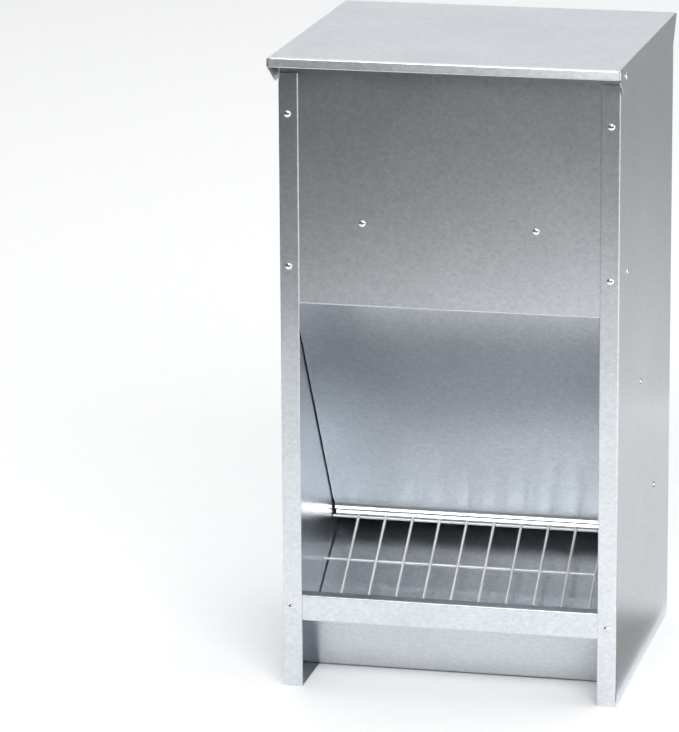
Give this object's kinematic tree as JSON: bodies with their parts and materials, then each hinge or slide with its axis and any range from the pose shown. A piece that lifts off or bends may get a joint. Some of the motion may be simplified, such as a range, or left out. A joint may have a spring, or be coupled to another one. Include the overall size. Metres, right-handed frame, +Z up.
{
  "type": "trough feeder",
  "caption": "Upright galvanised sheet hopper feeder for poultry, with a pivoting lid, a slanted baffle, an open front trough and a loose wire grille.",
  "frame": {"origin": "centre of the bounding box in X and Y, on the floor plane under the feet", "axes": "+Z up; -Y the front, where the hens feed; +X to the right seen from the front, along the lid pivot"},
  "size_m": [0.3096, 0.3073, 0.575],
  "materials": {
    "sheet": "hot-dip galvanised sheet with a fine spangle, semi-gloss",
    "wire": "bright galvanised wire",
    "rivet": "bright blind rivets",
    "spacer": "black nylon"
  },
  "bodies": {
    "housing": {"back_panel": "sheet", "back_panel_rivets": "rivet", "baffle_front_rivets": "rivet", "baffle_plate": "sheet", "chute_rivets": "rivet", "floor_chute": "sheet", "front_panel": "sheet", "front_panel_rivets": "rivet", "left_baffle_rivets": "rivet", "left_side_panel": "sheet", "lid_pivot_rivets": "rivet", "lid_pivot_spacers": "spacer", "right_baffle_rivets": "rivet", "right_side_panel": "sheet", "throat_strip": "sheet", "trough_pan": "sheet", "trough_rivets": "rivet"},
    "lid": {"lid": "sheet"},
    "grille": {"grille_cross_wire_1": "wire", "grille_cross_wire_2": "wire", "grille_cross_wire_3": "wire", "grille_cross_wire_4": "wire", "grille_long_wire_01": "wire", "grille_long_wire_02": "wire", "grille_long_wire_03": "wire", "grille_long_wire_04": "wire", "grille_long_wire_05": "wire", "grille_long_wire_06": "wire", "grille_long_wire_07": "wire", "grille_long_wire_08": "wire", "grille_long_wire_09": "wire", "grille_long_wire_10": "wire", "grille_long_wire_11": "wire"}
  },
  "joints": [
    {"name": "lid_pivot", "type": "hinge", "parent": "housing", "child": "lid", "pos_m": [0, -0.12165, 0.5646], "axis": [1, 0, 0], "range_deg": [0, 78]},
    {"name": "grille_lift", "type": "slide", "parent": "housing", "child": "grille", "axis": [0, -0.5505, 0.8348], "range_m": [0, 0.08]}
  ]
}
